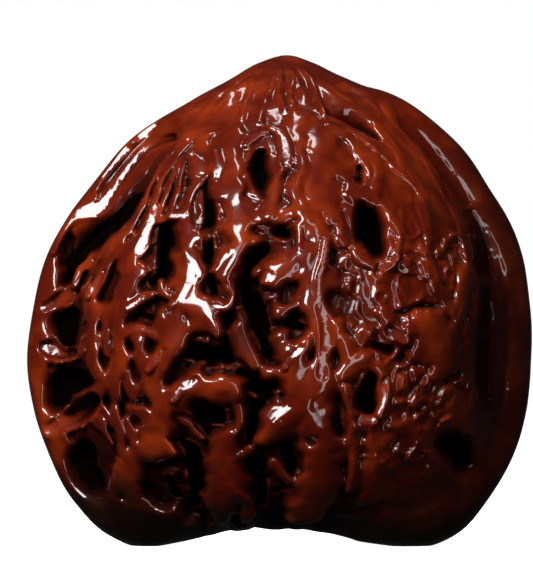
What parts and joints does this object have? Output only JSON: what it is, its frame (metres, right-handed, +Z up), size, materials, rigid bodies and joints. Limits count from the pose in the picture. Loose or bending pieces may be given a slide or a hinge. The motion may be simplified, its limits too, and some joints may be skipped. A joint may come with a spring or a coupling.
{
  "type": "walnut in shell",
  "caption": "Whole walnut in its shell, deeply ridged and pitted, with a raised rim round the seam and a blunt tip, polished to a deep red-brown.",
  "frame": {"origin": "centre of the bounding box in plan, at the level of the feet that the nut stands on", "axes": "+Z up through the tip, X across the width in the plane of the seam, -Y towards the front that the picture shows"},
  "size_m": [0.045, 0.04, 0.0437],
  "materials": {
    "shell": "rubbed to a deep gloss, darker in the pits"
  },
  "bodies": {
    "root": {"walnut": "shell"}
  },
  "joints": []
}
